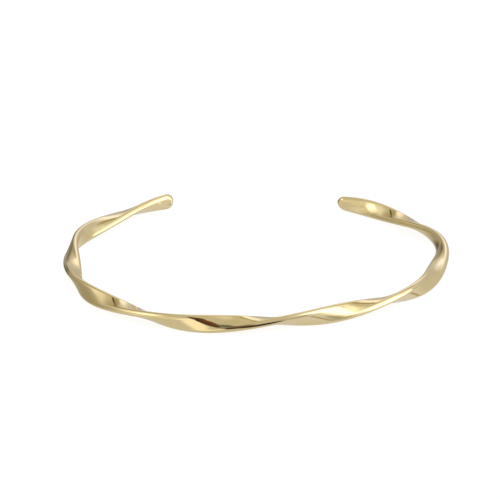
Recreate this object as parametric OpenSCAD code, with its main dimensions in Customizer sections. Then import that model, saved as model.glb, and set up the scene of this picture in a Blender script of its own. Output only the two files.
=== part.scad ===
// Twisted open bangle: one flat metal strip with round edges, wound along its length
// and bent into an oval that stays open at the back. It lies on its side, z is up,
// the opening faces +Y and the sizes are in millimetres.

/* [Strip] */
// Length of the strip along its middle line, from tip to tip; the bends grow with it
strip_length = 144; // [126:1:164]
// Width of the strip across its flat face
strip_width = 2.85; // [2.4:0.05:3.6]
// Thickness of the strip, at the middle of its faces
strip_thick = 1.3; // [0.9:0.05:1.6]
// How much the faces are crowned: their middle stands this far above their sides
face_crown = 0.07; // [0.01:0.01:0.15]
// Rounding of the four long edges
edge_round = 0.58; // [0.1:0.02:0.7]
// Corner radius of the rounded tips, seen on the flat face
tip_round = 1.3; // [0.8:0.05:1.4]
// Rounding of the tips across the thickness
tip_soft = 0.45; // [0.1:0.05:0.7]

/* [Bends] */
// Direction of the strip where it leaves the left tip, in degrees from +X
first_heading = -160.9; // [-175:0.1:-150]
// How much more the strip bends where it stands on edge than where it lies flat
bend_bias = 0.73; // [0:0.01:0.9]

/* [Twist] */
// Lean of the flat face from upright at the left tip, in degrees
first_lean = -4; // [-90:1:90]
// Share of the twist that is put in: 1 is the full three and a half turns, 0 is a flat band
twist_share = 1; // [0:0.05:1.1]

/* [Facets] */
// Rings between the two tips
body_rings = 250; // [120:2:280]
// Rings in each rounded tip
tip_rings = 8; // [4:1:10]

/* [Hidden] */
gold = [0.86, 0.74, 0.49];

// The forming table, for a strip 144 mm long. Between two rows the values change evenly.
// columns: place along the strip (mm), bend radius (mm), twist (degrees per mm)
forming = [
    [0, 27, 6.3],       // left tip, behind
    [18, 22, 8.8],      // left shoulder
    [36, 25, 10.1],     // left side
    [54, 21.5, 7.8],    // left of the front
    [72, 45, 8.5],      // middle of the front
    [90, 49, 9.6],      // right of the front
    [108, 18, 9.9],     // right side
    [126, 20.5, 8.8],   // right shoulder
    [144, 37, 9.9]      // right tip, behind
];
size = strip_length / forming[len(forming) - 1][0];
bend_table = [for (row = forming) [row[0] * size, 1 / (row[1] * size)]];
twist_table = [for (row = forming) [row[0] * size, twist_share * row[2] / size]];

half_width = strip_width / 2;
half_thick = strip_thick / 2;
side_thick = half_thick - face_crown;
edge_r = min(edge_round, side_thick - 0.01);
half_face = half_width - edge_r;
tip_r = min(tip_round, half_width - 0.02);
soft_r = min(tip_soft, half_thick - 0.1);
corner_steps = 3;
face_steps = 3;

// Places of the rings along the strip: crowded into the rounded tips, even between them
tip_places = [for (i = [0 : tip_rings - 1]) tip_r * (1 - cos(90 * i / tip_rings))];
body_step = (strip_length - 2 * tip_r) / body_rings;
places = concat(
    tip_places,
    [for (i = [0 : body_rings]) tip_r + i * body_step],
    [for (i = [tip_rings - 1 : -1 : 0]) strip_length - tip_places[i]]
);

// Bend of the middle line at a place, in degrees per mm, for the turn the strip has there
function bend_at(place, turn) =
    lookup(place, bend_table) * (1 + bend_bias * cos(2 * turn)) * 180 / PI;

// The middle line walked ring by ring: x, y, heading and turn at every place
walk = [
    for (
        i = 0, x = 0, y = 0, heading = first_heading, turn = first_lean;
        i < len(places);
        step = i + 1 < len(places) ? places[i + 1] - places[i] : 0,
        middle = places[i] + step / 2,
        twist = lookup(middle, twist_table) * step,
        bend = bend_at(middle, turn - twist / 2) * step,
        x = x + step * cos(heading + bend / 2),
        y = y + step * sin(heading + bend / 2),
        heading = heading + bend,
        turn = turn - twist,
        i = i + 1
    )
    [x, y, heading, turn]
];

// A quarter of a round edge: side is its place as [width, thickness] signs, from its start angle
function edge_arc(side, start) = [
    for (j = [0 : corner_steps])
    let (angle = start + 90 * j / corner_steps)
    [side[0] * half_face + edge_r * cos(angle), side[1] * (side_thick - edge_r) + edge_r * sin(angle)]
];

// The crowned face that lies between two round edges, on the side that the sign says
function face_arc(sign) = [
    for (j = [1 : face_steps - 1])
    let (across = 1 - 2 * j / face_steps)
    [sign * half_face * across, sign * (half_thick - face_crown * across * across)]
];

// Cross-section of the strip, width first: two crowned faces and four round quarters
section = concat(
    edge_arc([1, 1], 0), face_arc(1), edge_arc([-1, 1], 90),
    edge_arc([-1, -1], 180), face_arc(-1), edge_arc([1, -1], 270)
);

// Share of the full half size that is left at a distance from the tip's end
function rounded_share(distance, radius, half) =
    distance >= radius ? 1
    : (half - radius + sqrt(max(0, radius * radius - pow(radius - distance, 2)))) / half;

// One ring of the strip: the section stood across the middle line and turned by the twist
function ring(i) =
    let (
        end_distance = min(places[i], strip_length - places[i]),
        wide = rounded_share(end_distance, tip_r, half_width),
        thick = rounded_share(end_distance, soft_r, half_thick),
        outward = [sin(walk[i][2]), -cos(walk[i][2]), 0],
        turn = walk[i][3],
        width_way = [0, 0, cos(turn)] + sin(turn) * outward,
        thick_way = [0, 0, -sin(turn)] + cos(turn) * outward
    )
    [
        for (p = section)
        [walk[i][0], walk[i][1], 0] + p[0] * wide * width_way + p[1] * thick * thick_way
    ];

rings = [for (i = [0 : len(places) - 1]) ring(i)];
skin = [for (one = rings) each one];
low = [for (axis = [0 : 2]) min([for (p = skin) p[axis]])];
high = [for (axis = [0 : 2]) max([for (p = skin) p[axis]])];
around = len(section);
last = len(rings) - 1;

// Two triangles for every patch between neighbouring rings, and a fan over each end
sides = [
    for (i = [0 : last - 1])
    for (j = [0 : around - 1])
    let (
        a = i * around + j,
        b = i * around + (j + 1) % around,
        c = a + around,
        d = b + around
    )
    each [[a, b, c], [b, d, c]]
];
far = last * around;
left_end = [for (j = [1 : around - 2]) [0, j + 1, j]];
right_end = [for (j = [1 : around - 2]) [far, far + j, far + j + 1]];

// The whole bangle, centred on the opening's plan and standing on z = 0
module cuff() {
    color(gold)
    translate([-(low[0] + high[0]) / 2, -(low[1] + high[1]) / 2, -low[2]])
    polyhedron(points = skin, faces = concat(sides, left_end, right_end), convexity = 8);
}

cuff();
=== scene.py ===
from math import cos, degrees, pi, radians, sin

import bpy
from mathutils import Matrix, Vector


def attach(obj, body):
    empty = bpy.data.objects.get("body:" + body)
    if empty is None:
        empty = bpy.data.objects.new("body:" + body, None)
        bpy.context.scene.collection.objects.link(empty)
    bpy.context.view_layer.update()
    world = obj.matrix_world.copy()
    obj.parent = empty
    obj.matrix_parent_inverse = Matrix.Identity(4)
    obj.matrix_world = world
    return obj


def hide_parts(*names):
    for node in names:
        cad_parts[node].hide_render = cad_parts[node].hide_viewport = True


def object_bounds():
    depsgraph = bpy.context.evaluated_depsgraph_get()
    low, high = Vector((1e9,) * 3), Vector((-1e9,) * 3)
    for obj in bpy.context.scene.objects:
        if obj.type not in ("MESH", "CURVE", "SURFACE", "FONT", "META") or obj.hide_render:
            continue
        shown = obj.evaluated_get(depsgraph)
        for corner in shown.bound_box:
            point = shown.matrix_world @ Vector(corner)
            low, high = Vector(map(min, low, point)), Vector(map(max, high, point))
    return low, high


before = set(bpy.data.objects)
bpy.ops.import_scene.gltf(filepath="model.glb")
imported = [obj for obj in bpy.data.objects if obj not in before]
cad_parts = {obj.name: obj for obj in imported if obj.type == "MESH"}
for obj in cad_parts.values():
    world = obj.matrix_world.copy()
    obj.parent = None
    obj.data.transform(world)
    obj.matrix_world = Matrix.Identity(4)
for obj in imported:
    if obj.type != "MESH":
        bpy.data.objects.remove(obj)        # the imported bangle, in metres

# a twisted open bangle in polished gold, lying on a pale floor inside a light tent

cadLow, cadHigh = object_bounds()
mm = 0.001
print("frame loaded")


# small helpers for modelling

def makeActive(piece):
    bpy.ops.object.select_all(action='DESELECT')
    piece.select_set(True)
    bpy.context.view_layer.objects.active = piece


def pickEdges(piece, wanted):
    # selects the edges whose two ends, in metres, pass wanted(a, b), and stays in edit mode
    bpy.ops.object.mode_set(mode='EDIT')
    bpy.ops.mesh.select_mode(type='EDGE')
    bpy.ops.mesh.select_all(action='DESELECT')
    bpy.ops.object.mode_set(mode='OBJECT')
    points = piece.data.vertices
    for edge in piece.data.edges:
        a, b = (points[i].co for i in edge.vertices)
        edge.select = bool(wanted(a, b))
    bpy.ops.object.mode_set(mode='EDIT')


def cutAt(place, direction):
    # a bisect across everything, which only adds a loop of edges
    bpy.ops.mesh.select_all(action='SELECT')
    bpy.ops.mesh.bisect(plane_co=place, plane_no=direction)


# the strip's own sizes, flat, and then the forming table that the solid has as well

strip = {
    "length": 144 * mm,      # tip to tip, along the middle line
    "width": 2.85 * mm,
    "thick": 1.3 * mm,       # at the middle of the faces
    "crown": 0.07 * mm,      # how far the middle of a face stands above its sides
    "edgeRound": 0.58 * mm,  # the four long edges
    "tipRound": 1.3 * mm,    # corners of the tips, seen on the flat
    "crownFade": 2.5 * mm,   # the crown dies out over this length at the tips
    "tipSteps": 12,          # facets in each of these rounds
    "edgeSteps": 6,
    "mergeGap": 0.01 * mm,   # points closer than this are one point
    "faceLoops": (-0.9, -0.6, -0.3, 0, 0.3, 0.6, 0.9),   # shares of half a flat face
    "tipLoops": (0.55, 0.7, 0.85, 1.0),                  # shares of a tip's round
    "slices": (12, 90),      # the body is cut into 12 lengths, and each of them into 90
}
nearly = 0.99                # a length or height this close to another counts as equal to it

forming = [
    # along (mm), bend radius (mm), twist (degrees per mm)
    (0, 27, 6.3),
    (18, 22, 8.8),
    (36, 25, 10.1),
    (54, 21.5, 7.8),
    (72, 45, 8.5),
    (90, 49, 9.6),
    (108, 18, 9.9),
    (126, 20.5, 8.8),
    (144, 37, 9.9),
]
firstHeading = -160.9        # degrees, the way the strip leaves the left tip
firstLean = -4               # degrees from upright at the left tip
bendBias = 0.73              # it bends more where it stands on edge
walkSteps = 4320             # even steps along the middle line


def between(place, column):
    # the value of a column of the forming table at a place along the strip, in mm
    for low, high in zip(forming, forming[1:]):
        if place <= high[0]:
            share = (place - low[0]) / (high[0] - low[0])
            first, second = column(low), column(high)
            return first + (second - first) * share
    return column(forming[-1])


def walkMiddleLine():
    # x, y (mm) and turn (degrees) at even steps, from the left tip to the right one
    step = forming[-1][0] / walkSteps
    x = y = 0.0
    heading, turn = firstHeading, firstLean
    found = [(x, y, turn)]
    for i in range(walkSteps):
        middle = (i + 0.5) * step
        twist = between(middle, lambda row: row[2]) * step
        bias = 1 + bendBias * cos(2 * radians(turn - twist / 2))
        bend = between(middle, lambda row: 1 / row[1]) * bias * step * 180 / pi
        x += step * cos(radians(heading + bend / 2))
        y += step * sin(radians(heading + bend / 2))
        heading += bend
        turn -= twist
        found.append((x, y, turn))
    return found


def makeMiddleLine():
    curve = bpy.data.curves.new("middleLine", 'CURVE')
    curve.dimensions = '3D'
    curve.twist_mode = 'Z_UP'
    line = curve.splines.new('POLY')
    walk = walkMiddleLine()
    line.points.add(len(walk) - 1)
    for point, (x, y, turn) in zip(line.points, walk):
        point.co = (x * mm, y * mm, 0, 1)
        point.tilt = radians(turn)
    piece = bpy.data.objects.new("middleLine", curve)
    bpy.context.scene.collection.objects.link(piece)
    return piece


# the strip: a flat bar, rounded, then wound and bent along the middle line

def makeStrip():
    length, width, tip = strip["length"], strip["width"], strip["tipRound"]
    sideThick = strip["thick"] - 2 * strip["crown"]
    bpy.ops.object.select_all(action='DESELECT')
    bpy.ops.mesh.primitive_cube_add(size=1, location=(length / 2, 0, 0))
    piece = bpy.context.active_object
    piece.name = "twistedStrip"
    piece.scale = (length, sideThick, width)
    bpy.ops.object.transform_apply(location=True, rotation=False, scale=True)

    # the corners of both tips, then everything around the two flat faces
    pickEdges(piece, lambda a, b: abs(a.y - b.y) > sideThick / 2)
    bpy.ops.mesh.bevel(offset=tip, offset_type='OFFSET', segments=strip["tipSteps"],
                       affect='EDGES', clamp_overlap=False)
    pickEdges(piece, lambda a, b: a.y * b.y > 0)
    bpy.ops.mesh.bevel(offset=strip["edgeRound"], offset_type='OFFSET',
                       segments=strip["edgeSteps"], affect='EDGES', clamp_overlap=False)
    # the two rounds of an edge meet in its middle
    bpy.ops.mesh.select_all(action='SELECT')
    bpy.ops.mesh.remove_doubles(threshold=strip["mergeGap"])

    # loops across the flat faces, then along the tips
    flat = width / 2 - strip["edgeRound"]
    for share in strip["faceLoops"]:
        cutAt((0, 0, flat * share), (0, 0, 1))
    for share in strip["tipLoops"]:
        cutAt((tip * share, 0, 0), (1, 0, 0))
        cutAt((length - tip * share, 0, 0), (1, 0, 0))

    # the long body is sliced finely, so that it can be wound
    longest = length - 2 * tip
    for parts in strip["slices"]:
        pickEdges(piece, lambda a, b: abs(a.x - b.x) > longest * nearly)
        bpy.ops.mesh.subdivide(number_cuts=parts - 1, quadcorner='STRAIGHT_CUT')
        longest /= parts
    bpy.ops.mesh.select_all(action='SELECT')
    bpy.ops.mesh.normals_make_consistent(inside=False)
    bpy.ops.object.mode_set(mode='OBJECT')
    print("flat strip", len(piece.data.polygons), "faces")
    return piece


def crownFaces(piece):
    # both flat faces swell to their middle: a weight on their points, then Displace outwards
    faceHigh = strip["thick"] / 2 - strip["crown"]
    faceSide = strip["width"] / 2 - strip["edgeRound"]
    group = piece.vertex_groups.new(name="crown")
    for point in piece.data.vertices:
        across = point.co.z / faceSide
        fromTip = min(point.co.x, strip["length"] - point.co.x) - strip["edgeRound"]
        if abs(point.co.y) > faceHigh * nearly and abs(across) < 1 and fromTip > 0:
            rise = min(1, fromTip / strip["crownFade"])
            soft = rise * (2 - rise)
            group.add([point.index], (1 - across ** 2) * soft, 'REPLACE')
    makeActive(piece)
    swell = piece.modifiers.new("swell", 'DISPLACE')
    swell.vertex_group = "crown"
    swell.direction = 'NORMAL'
    swell.mid_level = 0
    swell.strength = strip["crown"]
    bpy.ops.object.modifier_apply(modifier="swell")
    print("faces crowned by", strip["crown"] / mm, "mm")


def rememberFlatPlace(piece):
    # the flat strip's own x, y, z stay with it as an attribute, so that its finish runs along it
    places = piece.data.attributes.new("flatPlace", 'FLOAT_VECTOR', 'POINT')
    for point, place in zip(piece.data.vertices, places.data):
        place.vector = point.co


def windStrip(piece, line):
    makeActive(piece)
    wind = piece.modifiers.new("wind", 'CURVE')
    wind.object = line
    wind.deform_axis = 'POS_X'
    bpy.ops.object.modifier_apply(modifier="wind")
    bpy.data.objects.remove(line)

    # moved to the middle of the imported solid's box, and down onto its lowest point
    low = Vector(min(v.co[i] for v in piece.data.vertices) for i in range(3))
    high = Vector(max(v.co[i] for v in piece.data.vertices) for i in range(3))
    shift = (cadLow + cadHigh) / 2 - (low + high) / 2
    shift.z = cadLow.z - low.z
    piece.location = shift
    bpy.ops.object.transform_apply(location=True, rotation=False, scale=False)
    bpy.ops.object.shade_smooth()
    print("strip wound", [round(x / mm, 2) for x in high - low])


bangle = makeStrip()
crownFaces(bangle)
rememberFlatPlace(bangle)
windStrip(bangle, makeMiddleLine())


# shader maths written as expressions

class Flow:
    # one output of a node; arithmetic on it adds Math nodes
    def __init__(self, tree, socket=None):
        self.tree = tree
        self.socket = socket

    def add(self, kind, settings=None, sockets=None, output=0):
        # any node: its type, its settings first, then the values or links of its sockets
        node = self.tree.nodes.new(kind)
        for name, value in (settings or {}).items():
            setattr(node, name, value)
        for name, value in (sockets or {}).items():
            if isinstance(value, Flow):
                self.tree.links.new(value.socket, node.inputs[name])
            else:
                node.inputs[name].default_value = value
        return Flow(self.tree, node.outputs[output])

    def maths(self, operation, first, second=0.0):
        return self.add('ShaderNodeMath', {"operation": operation}, {0: first, 1: second})

    def fade(self, low, high):
        # 0 up to low, 1 from high on, and smooth between them
        limits = {"Value": self, "From Min": low, "From Max": high}
        return self.add('ShaderNodeMapRange', {"interpolation_type": 'SMOOTHSTEP'}, limits)

    def __add__(self, other):
        return self.maths('ADD', self, other)

    def __radd__(self, other):
        return self.maths('ADD', other, self)

    def __sub__(self, other):
        return self.maths('SUBTRACT', self, other)

    def __rsub__(self, other):
        return self.maths('SUBTRACT', other, self)

    def __mul__(self, other):
        return self.maths('MULTIPLY', self, other)

    def __rmul__(self, other):
        return self.maths('MULTIPLY', other, self)


def mixColours(factor, first, second):
    # both colours are flows or plain (red, green, blue)
    first, second = (c if isinstance(c, Flow) else (*c, 1) for c in (first, second))
    sockets = {0: factor, 6: first, 7: second}       # where the Mix node has its colours
    return factor.add('ShaderNodeMix', {"data_type": 'RGBA'}, sockets, output=2)


# polished gold, with the finest polishing lines along the strip

gold = {
    "tone": (0.945, 0.77, 0.415),
    "deepTone": (0.925, 0.74, 0.375),
    "paleTone": (0.96, 0.80, 0.47),
    "cloudSize": 9 * mm,         # the plating is a little deeper and paler in soft clouds
    "deepLevels": (0.3, 0.5),    # the levels of the noise between which each thing fades in
    "paleLevels": (0.5, 0.72),
    "roughness": 0.055,
    "lineLength": 7 * mm,        # polishing lines, along the strip
    "lineWidth": 0.05 * mm,
    "lineLevels": (0.45, 0.8),
    "lineRoughness": 0.045,
    "rippleSize": 2.4 * mm,      # the faint waves that hand polishing leaves
    "rippleDepth": 0.0012 * mm,
    "hairLength": 2.2 * mm,      # hairline scratches, in patches
    "hairWidth": 0.025 * mm,
    "hairLevels": (0.66, 0.74),
    "patchSize": 4.5 * mm,
    "patchLevels": (0.5, 0.62),
    "hairRoughness": 0.12,
    "hairDepth": 0.0003 * mm,
}


def makeGold():
    material = bpy.data.materials.new("polishedGold")
    material.use_nodes = True
    tree = material.node_tree
    shader = tree.nodes["Principled BSDF"]
    flow = Flow(tree)
    along = flow.add('ShaderNodeAttribute', {"attribute_name": "flatPlace"}, output="Vector")
    place = flow.add('ShaderNodeTexCoord', output="Object")

    def noise(vector, stretch, detail=2.0):
        # stretch is the size of one blob in metres, for each axis
        scaled = flow.add('ShaderNodeVectorMath', {"operation": 'DIVIDE'}, {0: vector, 1: stretch})
        sockets = {"Vector": scaled, "Scale": 1.0, "Detail": detail}
        return flow.add('ShaderNodeTexNoise', sockets=sockets)

    clouds = noise(place, [gold["cloudSize"]] * 3, detail=3.0)
    tone = mixColours(clouds.fade(*gold["deepLevels"]), gold["deepTone"], gold["tone"])
    tone = mixColours(clouds.fade(*gold["paleLevels"]), tone, gold["paleTone"])
    tree.links.new(tone.socket, shader.inputs["Base Color"])
    shader.inputs["Metallic"].default_value = 1.0

    lines = noise(along, (gold["lineLength"], gold["lineWidth"], gold["lineWidth"]))
    hairs = noise(along, (gold["hairLength"], gold["hairWidth"], gold["hairWidth"]), detail=1.0)
    patches = noise(along, [gold["patchSize"]] * 3)
    scratches = hairs.fade(*gold["hairLevels"]) * patches.fade(*gold["patchLevels"])
    rough = gold["roughness"] + lines.fade(*gold["lineLevels"]) * gold["lineRoughness"]
    rough = rough + scratches * gold["hairRoughness"]
    tree.links.new(rough.socket, shader.inputs["Roughness"])

    ripples = noise(place, [gold["rippleSize"]] * 3, detail=1.0) * gold["rippleDepth"]
    height = ripples - scratches * gold["hairDepth"]
    bump = flow.add('ShaderNodeBump', sockets={"Strength": 1.0, "Distance": 1.0, "Height": height})
    tree.links.new(bump.socket, shader.inputs["Normal"])
    return material


bangle.data.materials.clear()
bangle.data.materials.append(makeGold())
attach(bangle, "root")
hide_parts("cuff")
print("bangle in polished gold")


# the pale floor

floorLook = {
    "side": 1.6,             # metres
    "tone": 0.30,            # how much of the tent's light it gives back
    "glow": 0.84,            # the rest comes from a light below it, as on a light table
    "roughness": 0.9,
}


def makeFloor():
    bpy.ops.object.select_all(action='DESELECT')
    bpy.ops.mesh.primitive_plane_add(size=floorLook["side"], location=(0, 0, cadLow.z))
    floor = bpy.context.active_object
    floor.name = "floor"
    bpy.ops.object.transform_apply(location=True, rotation=False, scale=False)
    material = bpy.data.materials.new("paleFloor")
    material.use_nodes = True
    shader = material.node_tree.nodes["Principled BSDF"]
    shader.inputs["Base Color"].default_value = (*[floorLook["tone"]] * 3, 1)
    shader.inputs["Roughness"].default_value = floorLook["roughness"]
    shader.inputs["Specular IOR Level"].default_value = 0.0
    shader.inputs["Emission Color"].default_value = (1, 1, 1, 1)
    shader.inputs["Emission Strength"].default_value = floorLook["glow"]
    floor.data.materials.append(material)
    floor.visible_glossy = False     # the metal mirrors the light tent below it as well
    print("floor laid")


makeFloor()


# the light tent: a pale dome, with soft rounded panels and shades around the bangle
# azimuth 0 is the camera's side and 90 is +X; all angles are in degrees
# a later panel covers an earlier one where they meet

tent = {
    "above": 0.58,
    "around": 0.60,
    "below": 0.62,
    "upperFade": (35, 70),   # how high the middle tone fades into the upper one
    "lowerFade": (25, 55),   # and how far down into the lower one
    "squareness": 3,         # 2 makes the panels oval, and more makes them boxier
}
panels = {
    # azimuth, elevation, lean, half width, half height, softness, colour
    # softness is the share of its size over which a border fades, inwards and outwards
    "overhead": (0, 88, 0, 36, 36, 0.7, (0.57, 0.555, 0.51)),
    "right low glow": (100, -52, 0, 60, 24, 0.7, (0.7, 0.71, 0.77)),
    "left low glow": (-68, -14, 0, 12, 26, 0.7, (0.8, 0.8, 0.8)),
    "left shade": (-120, -4, 0, 41, 34, 0.65, (0.36, 0.345, 0.29)),
    "shade core": (-156, -5, 8, 14, 20, 0.6, (0.1, 0.088, 0.065)),
    "upper left glow": (-96, 50, 10, 13, 15, 0.8, (0.87, 0.87, 0.87)),
    "left softbox": (-69, 32, 20, 17, 19, 0.35, (1.12, 1.12, 1.12)),
    "left core": (-68, 33, 20, 8, 12, 0.5, (1.85, 1.85, 1.9)),
    "left front glow": (-40, 8, -15, 12, 22, 0.7, (0.78, 0.77, 0.69)),
    "front glow": (-27, -9, -24, 8, 22, 0.8, (0.76, 0.75, 0.67)),
    "front strip": (-15.5, -5, -24, 6, 22, 0.45, (1.06, 1.04, 0.98)),
    "right haze": (91, 40, 0, 14, 15, 0.8, (0.83, 0.83, 0.83)),
    "right glow": (62, 18, 4, 23, 46, 0.4, (0.96, 0.96, 0.96)),
    "right softbox": (60.5, 18, 8, 14.5, 41, 0.25, (2, 2, 2.1)),
    "right top": (94, 66, 0, 18, 13, 0.6, (0.88, 0.88, 0.88)),
    "right top core": (79, 58, 0, 13, 8, 0.8, (1.25, 1.25, 1.25)),
    "right rim": (84, -8, -2, 6, 34, 0.5, (1.8, 1.8, 1.8)),
    "right dull": (33, 4, 0, 7, 16, 0.6, (0.46, 0.46, 0.46)),
    "right fringe": (38, 3, 14, 1.8, 14, 0.6, (0.36, 0.32, 0.23)),
    "right line": (38.5, -28, 31, 2.3, 18, 0.6, (0.4, 0.35, 0.25)),
    "back horizon": (166, -3, 0, 40, 12, 0.5, (0.5, 0.49, 0.53)),
    "back grey": (146, 13, 0, 14, 11, 0.5, (0.55, 0.55, 0.6)),
    "back light": (169, 35, 0, 18, 12, 0.55, (0.87, 0.87, 0.99)),
    "back core": (174, 36, 0, 9, 8, 0.6, (1.12, 1.12, 1.3)),
    "back haze": (153, 60, 0, 20, 10, 0.7, (0.61, 0.59, 0.53)),
    "back olive": (156, 51.5, 0, 20, 4, 0.5, (0.41, 0.355, 0.21)),
    "post shade": (-142, 42, 0, 14, 10, 0.9, (0.43, 0.395, 0.3)),
    "upper dusk": (-163, 48, 0, 7, 8, 0.6, (0.4, 0.37, 0.28)),
    "post": (-152, 43, 8, 3, 17, 0.6, (0.22, 0.19, 0.12)),
    "post head": (-155, 52.5, 15, 1.6, 6, 0.5, (0.03, 0.03, 0.03)),
    "low line": (106, -44, 0, 14, 2.6, 0.7, (0.42, 0.38, 0.28)),
    "foot shade": (18, -40, 17, 5, 9, 0.6, (0.36, 0.34, 0.31)),
    "foot haze": (14, 14, 0, 11, 16, 0.6, (0.42, 0.42, 0.42)),
    "dark edge": (-5, 21, 8, 3.6, 25, 0.3, (0.05, 0.03, 0.02)),
    "brown upright": (-1, 31, 10, 4.5, 15, 0.25, (0.14, 0.062, 0.03)),
    "dark pole": (-10.5, 57, 14, 3.5, 15, 0.5, (0.15, 0.15, 0.15)),
    "dark foot": (11.5, -6, 17, 10, 25, 0.25, (0.02, 0.017, 0.014)),
}


def makeTent():
    world = bpy.data.worlds.new("lightTent")
    bpy.context.scene.world = world
    world.use_nodes = True
    tree = world.node_tree
    flow = Flow(tree)
    direction = flow.add('ShaderNodeTexCoord', output="Generated")

    def towards(vector):
        # how much of a direction points along the vector
        settings, sockets = {"operation": 'DOT_PRODUCT'}, {0: direction, 1: vector}
        return flow.add('ShaderNodeVectorMath', settings, sockets, output="Value")

    height = flow.maths('ARCSINE', towards((0, 0, 1))) * degrees(1)
    upper, lower = height.fade(*tent["upperFade"]), (0 - height).fade(*tent["lowerFade"])
    tone = tent["around"] + upper * (tent["above"] - tent["around"])
    tone = tone + lower * (tent["below"] - tent["around"])
    colour = flow.add('ShaderNodeCombineColor', sockets={0: tone, 1: tone, 2: tone})
    for azimuth, elevation, lean, halfWidth, halfHeight, softness, tint in panels.values():
        # the panel's own middle, right and top, as directions
        turn, up, roll = radians(azimuth), radians(elevation), radians(lean)
        ahead = Vector((sin(turn) * cos(up), -cos(turn) * cos(up), sin(up)))
        side = Vector((cos(turn), sin(turn), 0))
        over = Vector((-sin(turn) * sin(up), cos(turn) * sin(up), cos(up)))
        side, over = side * cos(roll) + over * sin(roll), over * cos(roll) - side * sin(roll)
        # how far a direction is from the panel's middle, where 1 is its rounded border
        depth = towards(ahead)
        reach = 0
        for way, half in ((side, halfWidth), (over, halfHeight)):
            angle = flow.maths('ARCTAN2', flow.maths('ABSOLUTE', towards(way)), depth)
            share = angle * (degrees(1) / half)
            reach = flow.maths('POWER', share, tent["squareness"]) + reach
        reach = flow.maths('POWER', reach, 1 / tent["squareness"])
        colour = mixColours(1 - reach.fade(1 - softness, 1 + softness), colour, tint)
    background = tree.nodes["Background"]
    tree.links.new(colour.socket, background.inputs["Color"])
    background.inputs["Strength"].default_value = 1.0


makeTent()
bpy.context.scene.view_settings.view_transform = 'Standard'
print("light tent with", len(panels), "panels")


# the camera, at the photograph's angle

cameraPose = {
    "aim": (-1.0 * mm, 4.27 * mm, 1.42 * mm),
    "elevation": 25.13,      # degrees
    "roll": -0.52,           # degrees
    "distance": 621.2 * mm,
    "lens": 274.6,           # millimetres, as Blender's cameras have it
    "sensor": 36,
    "clip": (0.01, 20),      # metres
}


def makeCamera():
    up = radians(cameraPose["elevation"])
    back = Vector((0, -cos(up), sin(up)))
    data = bpy.data.cameras.new("photoCamera")
    data.lens = cameraPose["lens"]
    data.sensor_width = cameraPose["sensor"]
    data.clip_start, data.clip_end = cameraPose["clip"]
    camera = bpy.data.objects.new("photoCamera", data)
    camera.location = Vector(cameraPose["aim"]) + back * cameraPose["distance"]
    camera.rotation_mode = 'ZYX'
    camera.rotation_euler = (pi / 2 - up, 0, radians(cameraPose["roll"]))
    bpy.context.scene.collection.objects.link(camera)
    bpy.context.scene.camera = camera
    print("camera", cameraPose["distance"], "m away")


makeCamera()
